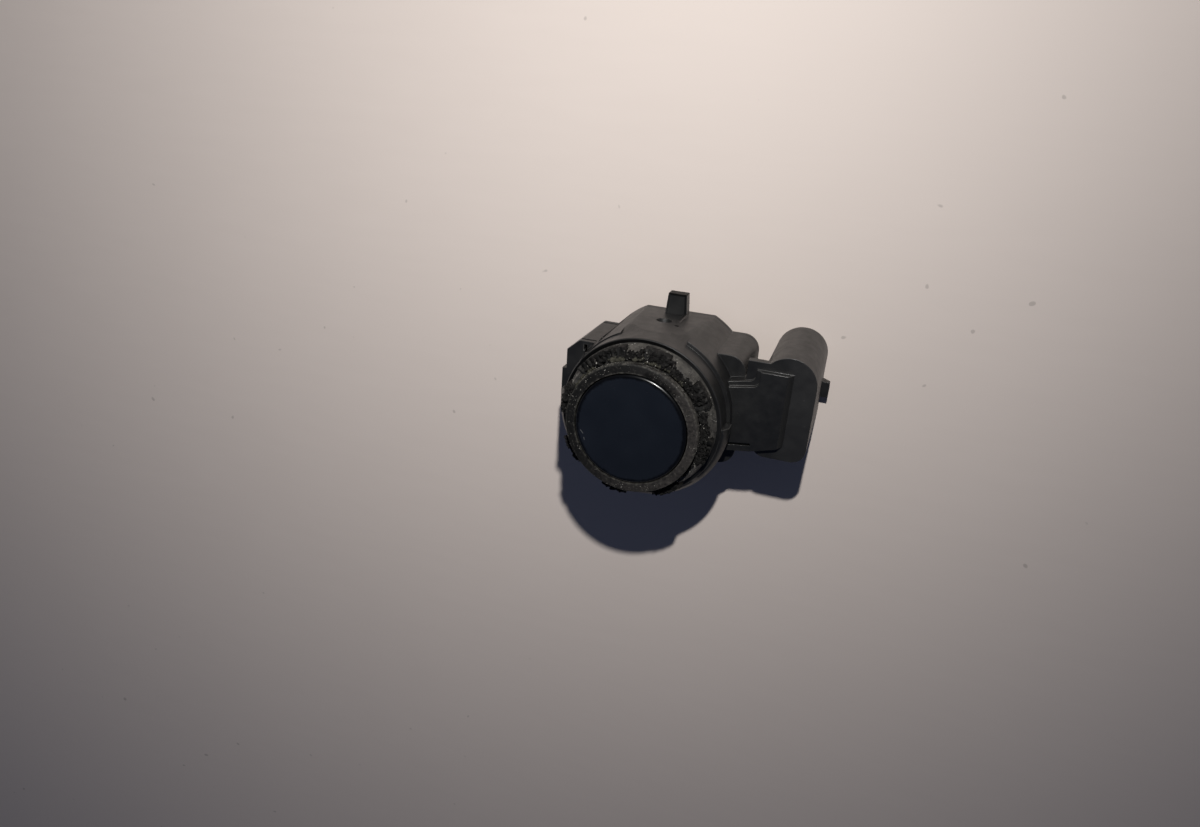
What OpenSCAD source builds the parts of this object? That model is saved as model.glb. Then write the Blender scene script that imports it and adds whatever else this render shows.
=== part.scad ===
// Parking sensor: an ultrasonic bumper sensor with a connector on an arm at its side.
// Frame: origin on the sensing axis, in the plane the part stands on.
// +Z points out of the sensing face, +X to the connector, +Y to the locking finger. Millimetres.

/* [Overall] */
// Height from the standing plane to the front of the sealing lip
overall_h = 26.5; // [26:0.25:28]
// Gap between pieces that fit into each other
fit_gap = 0.05; // [0.03:0.01:0.08]

/* [Sensing cup] */
// Outside diameter of the cup and of its painted membrane
cup_d = 15.5; // [15:0.1:15.7]
// Depth of the cup along the axis
cup_h = 8.3; // [8:0.1:8.5]
// Thickness of the cup's side wall
cup_wall = 1; // [0.8:0.1:1.4]
// Thickness of the membrane
membrane_t = 0.7; // [0.5:0.1:0.9]
// Radius on the rim of the membrane
cup_edge_r = 0.8; // [0.4:0.1:0.9]

/* [Inside the cup] */
// Diameter of the piezo disc
piezo_d = 7.2; // [6:0.2:7.4]
// Thickness of the piezo disc
piezo_t = 0.4; // [0.3:0.1:0.6]
// Thickness of the damping pad
pad_t = 1.8; // [1.2:0.1:2]
// Height of the foam filling
filling_h = 4; // [3:0.1:4.2]
// Diameter of the fine leads
lead_d = 0.4; // [0.3:0.05:0.5]
// Diameter of the lead holes in pad and filling
lead_hole_d = 0.8; // [0.7:0.1:1]
// Distance of the ground lead from the axis
ground_x = 4.2; // [4.1:0.1:4.4]

/* [Sealing ring] */
// Diameter of the front lip
lip_d = 18.2; // [17.8:0.1:18.6]
// Thickness of the front lip
lip_t = 1.45; // [1.2:0.05:1.6]
// Radius on the edges of the lip
lip_round = 0.3; // [0.2:0.05:0.45]
// Diameter of the neck behind the lip
neck_d = 17.1; // [16.8:0.1:17.4]
// Diameter of the flange clamped behind the collar
clamp_d = 20.2; // [19.6:0.1:20.3]
// Thickness of the clamped flange
clamp_t = 0.95; // [0.8:0.05:1.2]
// Thickness of the inner ledge under the cup
ledge_t = 1; // [0.8:0.1:1.2]
// Bore of the inner ledge
ledge_d = 13; // [12.8:0.1:13.6]

/* [Ring teeth] */
// Number of teeth around the ring
tooth_count = 8; // [6:1:8]
// Angle of the first tooth from the connector side
tooth_start = 33; // [30:1:36]
// Angle that a tooth covers
tooth_span = 20; // [14:1:24]
// Angle that the wide keying tooth covers
key_span = 42; // [34:1:46]
// Diameter over the teeth
tooth_d = 21.3; // [20.8:0.1:21.6]
// Height of the teeth along the axis
tooth_h = 1.5; // [1.2:0.1:1.7]
// Step of the teeth in front of the collar
tooth_proud = 0.15; // [0.1:0.05:0.3]
// Number of fine grooves across a tooth
groove_count = 4; // [2:1:5]
// Number of fine grooves across the keying tooth
key_groove_count = 9; // [5:1:10]
// Angle that a fine groove covers
groove_span = 1.7; // [1.2:0.1:2]
// Depth of the fine grooves
groove_h = 0.3; // [0.2:0.05:0.4]
// Land between the neck and the fine grooves
groove_land = 0.2; // [0.1:0.05:0.3]
// Angle by which a notch in the collar is wider than its tooth
notch_play = 1.2; // [0.8:0.1:1.6]

/* [Collar] */
// Distance of the collar's front behind the lip
collar_setback = 2.5; // [2.3:0.1:2.7]
// Diameter at the front of the collar's cone
collar_front_d = 20; // [19.4:0.1:20.4]
// Diameter at the rear of the collar's cone
collar_rear_d = 21.4; // [21:0.1:21.8]
// Bore of the collar
collar_bore_d = 17.9; // [17.7:0.1:18.1]
// Length of the collar's spigot inside the housing
spigot_h = 1; // [0.8:0.1:1.2]

/* [Barrel] */
// Distance of the barrel's front behind the lip
barrel_setback = 4.5; // [4.3:0.1:4.7]
// Diameter of the front band
band_d = 22.5; // [22.3:0.1:22.9]
// Length of the front band
band_l = 3.4; // [3.2:0.1:4.2]
// Chamfer on the front of the band
band_chamfer = 0.1; // [0.05:0.05:0.4]
// Diameter of the body behind the band
body_d = 23.5; // [23.3:0.1:24]
// Distance of the sloped flats from the axis at the rear
body_flat = 10.5; // [10.3:0.1:10.8]
// Distance of the sloped flats from the axis at the front
body_flat_front = 11.3; // [11:0.1:11.4]
// Length over which the flats run into the front band
flat_blend_l = 3; // [2:0.1:4]
// Width over which the flats run into the front band
flat_blend_w = 9.4; // [8:0.1:10]
// Thickness of the body's wall
wall = 1.5; // [1.3:0.1:1.7]
// Diameter of the counterbore for collar and clamped flange
counterbore_d = 20.4; // [20.35:0.05:20.6]
// Diameter of the bore around the sealing ring
ring_bore_d = 18.6; // [18.5:0.05:18.9]
// Thickness of the wall between cup and board
bulkhead_t = 1.5; // [1.2:0.1:1.8]
// Diameter of the half flange around the lower side
flange_d = 24.2; // [23.7:0.1:24.5]
// Length of the half flange behind its sloped front
flange_t = 1.6; // [1.2:0.1:2]
// Length of the sloped front of the half flange
flange_slope = 1.5; // [1.2:0.1:1.8]
// Height of the half flange's end on the left
flange_left_y = 1.7; // [1.2:0.1:2]
// Height of the half flange's end on the right
flange_right_y = 0.4; // [0:0.1:0.8]

/* [Left ear] */
// Distance of the left ear's front behind the lip
left_ear_setback = 9; // [8.6:0.1:9.4]
// Reach of the left ear from the axis
left_ear_x = 12.7; // [12.4:0.1:13]
// Extra reach of the ear's lower step
left_step = 0.6; // [0.3:0.1:0.9]
// Length of the lower step along the axis
left_step_l = 5.5; // [4:0.1:7]
// Height where the lower step begins
left_step_y = 3.55; // [3:0.05:4]
// Bottom of the lower step
left_step_low = 2.4; // [2:0.1:3]
// Top of the left ear
left_ear_y = 8; // [7.6:0.1:8.4]
// Bottom of the left ear
left_ear_low = 4; // [3.5:0.1:5]
// Reach of the left ear at its narrow rear end
left_ear_rear_x = 11.7; // [11.5:0.1:12]
// Width of the sloped corner
left_slope_w = 1.85; // [1.4:0.05:2.1]
// Height of the sloped corner
left_slope_h = 1.6; // [1.2:0.1:2]
// Height of the left ear's rear end above the standing plane
left_ear_z = 6.5; // [6:0.1:7.5]
// Depth of the grooves across the ear's top
ear_groove = 0.4; // [0.2:0.05:0.5]
// Distance of the grooves from the ear's ends
ear_groove_inset = 0.7; // [0.6:0.1:1]
// Width of the small slot in the ear's front
ear_slot_w = 0.5; // [0.4:0.1:0.7]
// Height of the small slot in the ear's front
ear_slot_h = 0.9; // [0.7:0.1:1.1]
// Distance of the slot from the axis, sideways
ear_slot_x = 10.2; // [10:0.1:10.4]
// Distance of the slot from the axis, upward
ear_slot_y = 6.6; // [6.4:0.1:6.8]

/* [Right ear] */
// Reach of the right ear from the axis
right_ear_x = 12.4; // [12.1:0.1:12.7]
// Top of the right ear
right_ear_top = 8.5; // [8.2:0.1:8.8]
// Bottom of the right ear
right_ear_low = 7.8; // [7.4:0.1:8.2]
// Corner radius of the right ear
right_ear_r = 2.4; // [1.8:0.1:2.8]
// Distance of the right ear's front behind the lip
right_ear_setback = 12; // [11.6:0.1:12.4]

/* [Locking finger] */
// Width of the finger at its base
finger_base_w = 3.3; // [2.8:0.1:3.6]
// Width of the finger at its tip
finger_tip_w = 2.75; // [2.3:0.05:2.8]
// Height of the finger above the flat
finger_h = 3.3; // [2.8:0.1:3.8]
// Thickness of the finger along the axis
finger_t = 1.8; // [1.5:0.1:2.2]
// Rear of the finger above the standing plane
finger_z = 4.9; // [4.6:0.1:5.4]
// Wall left around the pocket in the finger's rear
finger_wall = 0.5; // [0.4:0.05:0.65]
// Diameter of the round dimple in front of the finger
dimple_d = 2.3; // [1.8:0.1:2.6]
// Depth of the dimple
dimple_h = 0.8; // [0.5:0.1:0.9]
// Sideways place of the dimple
dimple_x = -0.5; // [-0.7:0.1:-0.3]
// Height of the dimple above the standing plane
dimple_z = 11.2; // [10.8:0.1:11.6]
// Width of the low rib beside the dimple
rib_w = 0.55; // [0.4:0.05:0.7]
// Height of the low rib at its middle
rib_h = 0.28; // [0.2:0.02:0.4]
// Sideways place of the low rib
rib_x = 1.15; // [1:0.05:1.3]
// Length of the low rib in front of the finger
rib_l = 4.4; // [4:0.1:5]
// Diameter of the small blind hole in front of the rib
pip_d = 0.5; // [0.4:0.05:0.6]
// Depth of the small blind hole
pip_h = 0.5; // [0.3:0.1:0.8]
// Sideways place of the small blind hole
pip_x = 1.85; // [1.6:0.05:2.1]
// Height of the small blind hole above the standing plane
pip_z = 13.2; // [12.9:0.1:13.5]

/* [Arm] */
// Distance of the arm's front behind the lip
arm_setback = 9.5; // [9.2:0.1:9.8]
// Rear of the arm above the standing plane
arm_rear_z = 11.6; // [11:0.1:12.4]
// Right end of the arm's flat face
arm_end_x = 19; // [18.6:0.1:19.4]
// Top of the arm beside the connector
arm_top = 7.7; // [7.5:0.1:8]
// Top of the arm's neck where it meets the shoulder
arm_neck_top = 5.4; // [5.2:0.1:5.6]
// Rise of the neck's top and bottom from the barrel to the shoulder
arm_neck_rise = 0.6; // [0.3:0.1:0.8]
// Bottom of the arm at its shoulder
arm_low = 4; // [3.8:0.1:4.3]
// Bottom of the arm at its right end
arm_end_low = 2.7; // [2.5:0.1:3]
// Where the arm widens toward the connector
arm_shoulder_x = 14.7; // [14.5:0.1:14.9]
// Radius in the corner where the arm widens
arm_fillet = 1; // [0.7:0.1:1.2]
// Width of the lower step along the arm's top
arm_step_w = 0.6; // [0.5:0.05:0.75]
// Drop of the lower step from the arm's face
arm_step_h = 0.6; // [0.4:0.1:0.8]
// Top of the web beside the connector
web_top = 8.8; // [8.6:0.1:9]
// Left end of the web
web_x = 12.7; // [12.5:0.1:12.9]
// Thickness of the web
web_t = 1.2; // [1:0.1:1.6]
// Width of the slit near the arm's lower edge
slit_w = 0.3; // [0.2:0.05:0.4]
// Depth of the slit
slit_h = 0.5; // [0.3:0.1:0.7]
// Distance of the slit from the arm's lower edge
slit_y = 0.9; // [0.6:0.1:1.2]

/* [Connector] */
// Distance of the connector's front plate behind the lip
plate_setback = 10.5; // [10.2:0.1:10.8]
// Middle of the connector
plug_x = 18.4; // [18.2:0.1:18.7]
// Width of the connector
plug_w = 7.5; // [7.3:0.1:7.8]
// Top of the connector's round end
plug_top = 9.95; // [9.7:0.05:10.1]
// Bottom of the connector
plug_low = 4.85; // [4.6:0.1:5]
// Radius of the connector's lower corners
plug_corner_r = 2; // [1.3:0.1:2.2]
// Wall of the connector shell
plug_wall = 1.1; // [1:0.05:1.2]
// Thickness of the shell at the stepped mouth of the socket
mouth_wall = 0.75; // [0.6:0.05:0.9]
// Depth of the stepped mouth
mouth_h = 0.7; // [0.5:0.1:1]
// Depth of the socket from its mouth
socket_h = 13.2; // [12.5:0.1:13.4]
// Width of the coding ribs in the socket
code_rib_w = 0.8; // [0.6:0.1:1]
// Height of the coding ribs in the socket
code_rib_h = 0.5; // [0.3:0.1:0.6]
// Distance of the coding ribs from the mouth
code_rib_z = 1.5; // [1:0.1:3]
// Step of the latch ramp from the shell
latch_h = 1.15; // [0.9:0.05:1.3]
// Width of the latch ramp
latch_w = 2.4; // [2:0.1:3]
// Middle of the latch ramp
latch_y = 1.7; // [1.4:0.1:2]
// Start of the latch ramp above the standing plane
latch_z = 0.6; // [0.5:0.1:1]
// Length of the latch ramp
latch_l = 2; // [1.6:0.1:2.6]
// Length of the latch ramp's slope
latch_slope_l = 1.2; // [0.8:0.1:1.4]

/* [Terminals] */
// Side of the square terminal wire
terminal_w = 0.64; // [0.5:0.02:0.7]
// Distance between terminals
terminal_pitch = 2.2; // [2:0.1:2.3]
// Height of the middle terminal above the axis
terminal_y = 2.5; // [2.4:0.1:2.8]
// Depth of the terminals behind the arm's front
terminal_depth = 2.4; // [2.3:0.1:2.7]
// Height of the terminal tips in the socket
terminal_tip_z = 5.6; // [5.4:0.1:7]
// Distance of the terminal feet from the axis
terminal_foot_x = 6.6; // [6.2:0.1:6.8]

/* [Contact carrier] */
// Gap between the carrier's flange and the ledge around it
carrier_gap = 0.3; // [0.2:0.1:0.6]
// Thickness of the carrier's flange
carrier_flange_t = 0.8; // [0.6:0.1:0.9]
// Diameter of the carrier's body
carrier_d = 10; // [9.8:0.1:10.4]
// Length of the carrier's body
carrier_h = 2; // [1.7:0.1:2.4]
// Diameter of the contact pins
contact_d = 0.7; // [0.6:0.05:0.8]
// Step of the contact pins above the flange
contact_proud = 0.4; // [0.3:0.1:0.5]

/* [Circuit board] */
// Length of the board
board_l = 15.6; // [15:0.1:15.8]
// Width of the board
board_w = 12.2; // [11.8:0.1:12.4]
// Thickness of the board
board_t = 1; // [0.8:0.1:1.2]
// Rear face of the board above the standing plane
board_z = 10; // [9.6:0.1:10.2]
// Diameter of the soldered holes in the board
board_hole_d = 1.05; // [1:0.01:1.1]
// Diameter of the posts that the board rests against
post_d = 1.6; // [1.4:0.1:1.8]
// Distance of the posts from the board's edges
post_inset = 1.2; // [1:0.1:1.3]
// Distance of the middle post from the row of terminal feet
post_setback = 2.2; // [1.8:0.1:2.4]
// Length of wire ends behind the board
solder_l = 0.5; // [0.3:0.1:0.6]

/* [Board parts] */
// Diameter of the transformer's core
core_d = 5.4; // [5:0.1:5.6]
// Height of the transformer
core_h = 4.4; // [4:0.1:4.6]
// Thickness of the core's end discs
core_disc_t = 0.8; // [0.6:0.1:1]
// Diameter of the core's post
core_post_d = 2.4; // [2:0.1:2.6]
// Inset of the winding from the discs' edge
winding_inset = 0.25; // [0.1:0.05:0.4]
// Length of the driver chip
chip_l = 5; // [4.4:0.1:5.2]
// Width of the driver chip
chip_w = 4.4; // [4:0.1:4.6]
// Height of the driver chip
chip_h = 1.1; // [0.9:0.1:1.3]
// Length of a capacitor
capacitor_l = 2; // [1.6:0.1:2.1]
// Width and height of a capacitor
capacitor_w = 1.25; // [1:0.05:1.3]
// Length of a resistor
resistor_l = 1.6; // [1.2:0.1:1.8]
// Width of a resistor
resistor_w = 0.8; // [0.6:0.1:0.9]
// Height of a resistor
resistor_h = 0.45; // [0.3:0.05:0.6]

/* [Rear cover] */
// Height of the foot pad that the part stands on
foot_h = 3; // [2.7:0.1:3.2]
// Diameter of the foot pad
foot_d = 16; // [14:0.5:18]
// Chamfer on the edge of the foot pad
foot_chamfer = 0.5; // [0.3:0.1:0.8]
// Thickness of the cover
cover_t = 0.9; // [0.8:0.1:1.1]
// Height of the rim inside the housing
cover_rim_h = 1; // [0.8:0.1:1.2]
// Thickness of the rim
cover_rim_t = 1; // [0.8:0.1:1.2]

/* [Hidden] */
$fn = 96;
collar_front = overall_h - collar_setback;
barrel_front = overall_h - barrel_setback;
body_front = barrel_front - band_l;
body_rear = foot_h + cover_t;
cup_rear = overall_h - cup_h;
ring_floor = cup_rear - ledge_t - 2 * fit_gap;
bulkhead_rear = ring_floor - bulkhead_t;
clamp_rear = barrel_front - spigot_h - clamp_t - 2 * fit_gap;
membrane_rear = overall_h - membrane_t;
piezo_rear = membrane_rear - piezo_t;
pad_rear = piezo_rear - pad_t;
filling_rear = pad_rear - filling_h;
carrier_flange_d = ledge_d - 2 * carrier_gap;
carrier_top = ring_floor + carrier_flange_t;
contact_top = carrier_top + contact_proud;
board_front = board_z + board_t;
arm_front = overall_h - arm_setback;
plate_front = overall_h - plate_setback;
terminal_run_z = arm_front - terminal_depth;
left_ear_front = overall_h - left_ear_setback;
right_ear_front = overall_h - right_ear_setback;
plug_r = plug_w / 2;
plug_right = plug_x + plug_r;
tooth_pitch = 360 / tooth_count;
key_tooth = 2;
notch_floor = collar_front + tooth_proud - tooth_h - fit_gap;
tooth_root = 0.5;
core_x = -3.7;
post_x = board_l / 2 - post_inset;
post_y = board_w / 2 - post_inset;
post_places = [[-post_x, post_y], [-post_x, -post_y], [post_x, -post_y],
    [terminal_foot_x - post_setback, post_y]];
chip_place = [3.6, 3.3];
capacitor_places = [[1.6, -2.4], [4.2, -2.4], [4.2, -4.2]];
resistor_places = [[1.6, -4.2], [6.4, -2.2], [-0.2, -5], [-3, -5]];
terminal_offsets = [terminal_pitch, 0, -terminal_pitch];
joint_eps = 0.01;
cut_extra = 1;

// Distance of the sloped flat from the axis at a height
function flat_y(z) = body_flat + (body_flat_front - body_flat) * (z - body_rear) / (body_front - body_rear);

// Rectangle with round corners between two corner points
module rounded_rectangle(x0, y0, x1, y1, r) {
    translate([x0 + r, y0]) square([x1 - x0 - 2 * r, y1 - y0]);
    translate([x0, y0 + r]) square([x1 - x0, y1 - y0 - 2 * r]);
    for (x = [x0 + r, x1 - r], y = [y0 + r, y1 - r]) translate([x, y]) circle(r);
}

// Round body with a flat above and below
module body_outline(inset) {
    intersection() {
        circle(body_d / 2 - inset);
        translate([-body_d, -body_flat + inset]) square([2 * body_d, 2 * (body_flat - inset)]);
    }
}

module right_ear_outline() {
    rounded_rectangle(0, -right_ear_low, right_ear_x, right_ear_top, right_ear_r);
}

// Connector section: round at the top, small corners below
module plug_outline(inset) {
    r = plug_r - inset;
    low = -plug_low + inset;
    corner = plug_corner_r - inset;
    top_y = plug_top - plug_r;
    translate([plug_x, top_y]) circle(r);
    translate([plug_x - r, low + corner]) square([2 * r, top_y - low - corner]);
    translate([plug_x - r + corner, low]) square([2 * (r - corner), top_y - low]);
    for (side = [-1, 1]) translate([plug_x + side * (r - corner), low + corner]) circle(corner);
}

// Flat face of the arm: narrow beside the barrel, wide in front of the connector
module arm_outline(neck_top, top, shoulder_x) {
    x0 = body_d / 2 - wall;
    polygon([[x0, -arm_low - arm_neck_rise], [arm_shoulder_x, -arm_low], [arm_end_x, -arm_end_low],
        [arm_end_x, top], [shoulder_x, top], [shoulder_x, neck_top], [shoulder_x - arm_fillet, neck_top],
        [x0, neck_top - arm_neck_rise]]);
    difference() {
        translate([shoulder_x - arm_fillet, neck_top - joint_eps]) square(arm_fillet + joint_eps);
        translate([shoulder_x - arm_fillet, neck_top + arm_fillet]) circle(arm_fillet);
    }
}

// Sector of a ring between two heights
module ring_sector(inner_d, outer_d, z0, z1, middle, span) {
    rotate([0, 0, middle - span / 2])
        rotate_extrude(angle = span) translate([inner_d / 2, z0]) square([(outer_d - inner_d) / 2, z1 - z0]);
}

// Ear that narrows toward the rear, with a thicker step on its lower half
module left_ear() {
    intersection() {
        translate([0, 0, left_ear_z]) linear_extrude(left_ear_front - left_ear_z)
            polygon([[0, left_ear_y], [-left_ear_x + left_slope_w, left_ear_y],
                [-left_ear_x, left_ear_y - left_slope_h], [-left_ear_x, -left_ear_low], [0, -left_ear_low]]);
        translate([0, body_d, 0]) rotate([90, 0, 0]) linear_extrude(2 * body_d)
            polygon([[0, left_ear_z], [-left_ear_rear_x, left_ear_z],
                [-left_ear_x, left_ear_front], [0, left_ear_front]]);
    }
    translate([-left_ear_x - left_step, -left_step_low, left_ear_front - left_step_l])
        cube([left_ear_x, left_step_low + left_step_y, left_step_l]);
}

module left_ear_grooves() {
    translate([-ear_slot_x, ear_slot_y, left_ear_front - ear_slot_h])
        cube([ear_slot_w, ear_slot_h, ear_slot_h + cut_extra]);
    for (z = [left_ear_z + ear_groove_inset, left_ear_front - ear_groove_inset - ear_groove])
        translate([-left_ear_x, left_ear_y - ear_groove, z]) cube([left_ear_x, cut_extra, ear_groove]);
}

module locking_finger() {
    pocket_y = flat_y(finger_z);
    difference() {
        translate([0, body_flat, finger_z]) linear_extrude(finger_t)
            polygon([[-finger_base_w / 2, -wall / 2], [finger_base_w / 2, -wall / 2],
                [finger_base_w / 2, 0], [finger_tip_w / 2, finger_h],
                [-finger_tip_w / 2, finger_h], [-finger_base_w / 2, 0]]);
        translate([-finger_tip_w / 2 + finger_wall, pocket_y, finger_z - finger_wall])
            cube([finger_tip_w - 2 * finger_wall, body_flat + finger_h - pocket_y - finger_wall, finger_t]);
    }
    translate([rib_x, body_flat, finger_z + finger_t / 2])
        cube([rib_w, flat_y(finger_z + rib_l / 2) - body_flat + rib_h, rib_l + finger_t / 2]);
}

// What the flats lose in front so that they run into the front band without a step
module flat_blend() {
    difference() {
        translate([-flat_blend_w / 2, -body_d, body_front - flat_blend_l])
            cube([flat_blend_w, 2 * body_d, flat_blend_l + cut_extra]);
        translate([0, 0, body_front - flat_blend_l])
            cylinder(h = flat_blend_l, d1 = body_d, d2 = band_d);
        translate([0, 0, body_front - joint_eps]) cylinder(h = 2 * cut_extra, d = band_d);
    }
}

// Round blind hole in the upper flat
module flat_hole(x, z, d, depth) {
    translate([x, flat_y(z) + cut_extra, z]) rotate([90, 0, 0]) cylinder(h = depth + cut_extra, d = d);
}

// Rim around the lower half of the barrel, with a sloped front
module half_flange() {
    z0 = barrel_front - flange_slope - flange_t;
    intersection() {
        rotate_extrude() polygon([[0, z0], [flange_d / 2, z0], [flange_d / 2, z0 + flange_t],
            [band_d / 2 - band_chamfer, barrel_front], [0, barrel_front]]);
        linear_extrude(overall_h) polygon([[-flange_d, -flange_d], [flange_d, -flange_d],
            [flange_d, flange_right_y], [0, flange_right_y], [0, flange_left_y], [-flange_d, flange_left_y]]);
    }
}

module arm() {
    translate([0, 0, arm_rear_z]) linear_extrude(arm_front - arm_rear_z)
        arm_outline(arm_neck_top, arm_top, arm_shoulder_x);
    translate([0, 0, arm_rear_z]) linear_extrude(arm_front - arm_step_h - arm_rear_z)
        arm_outline(arm_neck_top + arm_step_w, arm_top, arm_shoulder_x - arm_step_w);
    translate([web_x, 0, plate_front - web_t]) cube([plug_x - web_x, web_top, web_t]);
}

// Fine slit along the lower edge of the arm's neck
module arm_slit() {
    x0 = body_d / 2 - wall;
    l = arm_shoulder_x - x0;
    translate([x0, -arm_low - arm_neck_rise + slit_y, arm_front - slit_h])
        rotate([0, 0, atan(arm_neck_rise / l)]) cube([l, slit_w, slit_h + cut_extra]);
}

module latch_ramp() {
    translate([plug_right, latch_y + latch_w / 2, latch_z]) rotate([90, 0, 0]) linear_extrude(latch_w)
        polygon([[-plug_wall / 2, 0], [0, 0], [latch_h, latch_slope_l],
            [latch_h, latch_l], [-plug_wall / 2, latch_l]]);
}

module coding_ribs() {
    h = socket_h - code_rib_z + joint_eps;
    inner_r = plug_r - plug_wall;
    for (side = [-1, 1])
        translate([plug_x + side * (inner_r - code_rib_h / 2) - code_rib_h / 2 - joint_eps,
            plug_top - plug_r - code_rib_w / 2, code_rib_z])
            cube([code_rib_h + 2 * joint_eps, code_rib_w, h]);
}

// One bent terminal: tip in the socket, run through the arm, foot in the board
module terminal_wire(offset_y, gap) {
    w = terminal_w + 2 * gap;
    y0 = terminal_y + offset_y - w / 2;
    foot_z = board_z - solder_l;
    translate([plug_x - w / 2, y0, terminal_tip_z]) cube([w, w, terminal_run_z - terminal_tip_z]);
    translate([terminal_foot_x - w / 2, y0, terminal_run_z - w / 2])
        cube([plug_x - terminal_foot_x + w, w, w]);
    translate([terminal_foot_x - w / 2, y0, foot_z]) cube([w, w, terminal_run_z - foot_z]);
}

module housing_solid() {
    band_r = band_d / 2;
    rotate_extrude() polygon([[0, body_front - joint_eps], [band_r, body_front - joint_eps],
        [band_r, barrel_front - band_chamfer], [band_r - band_chamfer, barrel_front], [0, barrel_front]]);
    difference() {
        intersection() {
            translate([0, 0, body_rear]) cylinder(h = body_front - body_rear, d = body_d);
            translate([-body_d, 0, 0]) rotate([90, 0, 90]) linear_extrude(2 * body_d)
                polygon([[-body_flat, body_rear], [body_flat, body_rear],
                    [body_flat_front, body_front], [-body_flat_front, body_front]]);
        }
        flat_blend();
    }
    translate([0, 0, body_rear]) linear_extrude(right_ear_front - body_rear) right_ear_outline();
    left_ear();
    locking_finger();
    half_flange();
    arm();
    linear_extrude(plate_front) plug_outline(0);
    latch_ramp();
}

module housing() {
    color([0.06, 0.06, 0.065]) {
        difference() {
            housing_solid();
            translate([0, 0, clamp_rear - fit_gap]) cylinder(h = overall_h, d = counterbore_d);
            translate([0, 0, ring_floor]) cylinder(h = overall_h, d = ring_bore_d);
            translate([0, 0, body_rear - cut_extra])
                linear_extrude(bulkhead_rear - body_rear + cut_extra) body_outline(wall);
            translate([0, 0, bulkhead_rear - cut_extra])
                cylinder(h = bulkhead_t + 2 * cut_extra, d = carrier_d + 2 * fit_gap);
            translate([0, 0, -cut_extra]) linear_extrude(socket_h + cut_extra) plug_outline(plug_wall);
            translate([0, 0, -cut_extra]) linear_extrude(mouth_h + cut_extra) plug_outline(mouth_wall);
            for (y = terminal_offsets) terminal_wire(y, fit_gap);
            flat_hole(dimple_x, dimple_z, dimple_d, dimple_h);
            flat_hole(pip_x, pip_z, pip_d, pip_h);
            left_ear_grooves();
            arm_slit();
        }
        coding_ribs();
        for (p = post_places) translate([p[0], p[1], board_front])
            cylinder(h = bulkhead_rear - board_front + joint_eps, d = post_d);
    }
}

module collar() {
    bore_r = collar_bore_d / 2;
    spigot_r = counterbore_d / 2 - fit_gap;
    color([0.09, 0.09, 0.09]) difference() {
        rotate_extrude() polygon([[bore_r, barrel_front - spigot_h], [spigot_r, barrel_front - spigot_h],
            [spigot_r, barrel_front], [collar_rear_d / 2, barrel_front],
            [collar_front_d / 2, collar_front], [bore_r, collar_front]]);
        for (i = [0 : tooth_count - 1])
            ring_sector(neck_d, tooth_d + cut_extra, notch_floor, overall_h, tooth_start + i * tooth_pitch,
                (i == key_tooth ? key_span : tooth_span) + notch_play);
    }
}

// Section of the sealing ring: lip in front, neck, clamped flange and a ledge under the cup
module ring_profile() {
    inner_r = cup_d / 2 + fit_gap;
    lip_r = lip_d / 2;
    lip_rear = overall_h - lip_t;
    seat_r = ring_bore_d / 2 - fit_gap;
    sleeve_r = collar_bore_d / 2 - fit_gap;
    ledge_front = ring_floor + fit_gap + ledge_t;
    polygon([[inner_r, overall_h], [lip_r - lip_round, overall_h], [lip_r, overall_h - lip_round],
        [lip_r, lip_rear + lip_round], [lip_r - lip_round, lip_rear], [neck_d / 2, lip_rear],
        [neck_d / 2, collar_front], [sleeve_r, collar_front], [sleeve_r, clamp_rear + clamp_t],
        [clamp_d / 2, clamp_rear + clamp_t], [clamp_d / 2, clamp_rear], [seat_r, clamp_rear],
        [seat_r, ring_floor + fit_gap], [ledge_d / 2, ring_floor + fit_gap],
        [ledge_d / 2, ledge_front], [inner_r, ledge_front]]);
}

module sealing_ring() {
    lip_r = lip_d / 2;
    lip_rear = overall_h - lip_t;
    color([0.05, 0.05, 0.05]) {
        rotate_extrude() {
            ring_profile();
            for (z = [lip_rear + lip_round, overall_h - lip_round])
                translate([lip_r - lip_round, z]) circle(lip_round);
        }
        for (i = [0 : tooth_count - 1])
            ring_tooth(tooth_start + i * tooth_pitch, i == key_tooth ? key_span : tooth_span,
                i == key_tooth ? key_groove_count : groove_count);
    }
}

// One tooth of the ring with fine grooves across its front
module ring_tooth(middle, span, grooves) {
    front = collar_front + tooth_proud;
    difference() {
        ring_sector(cup_d + tooth_root, tooth_d, notch_floor + fit_gap, front, middle, span);
        for (k = [1 : grooves])
            ring_sector(neck_d + 2 * groove_land, tooth_d + cut_extra, front - groove_h, overall_h,
                middle - span / 2 + k * span / (grooves + 1), groove_span);
    }
}

module sensing_cup() {
    color([0.16, 0.2, 0.3]) difference() {
        rotate_extrude() {
            translate([0, cup_rear]) square([cup_d / 2 - cup_edge_r, cup_h]);
            translate([0, cup_rear]) square([cup_d / 2, cup_h - cup_edge_r]);
            translate([cup_d / 2 - cup_edge_r, overall_h - cup_edge_r]) circle(cup_edge_r);
        }
        translate([0, 0, cup_rear - cut_extra])
            cylinder(h = cup_h - membrane_t + cut_extra, d = cup_d - 2 * cup_wall);
    }
}

module piezo_disc() {
    color([0.75, 0.72, 0.62]) translate([0, 0, piezo_rear]) cylinder(h = piezo_t, d = piezo_d);
}

// Round filling with the two lead holes
module lead_plug(z, h) {
    difference() {
        translate([0, 0, z]) cylinder(h = h, d = cup_d - 2 * cup_wall - 2 * fit_gap);
        for (x = [0, ground_x]) translate([x, 0, z - cut_extra])
            cylinder(h = h + 2 * cut_extra, d = lead_hole_d);
    }
}

module damping_pad() {
    color([0.35, 0.35, 0.36]) lead_plug(pad_rear, pad_t);
}

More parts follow.
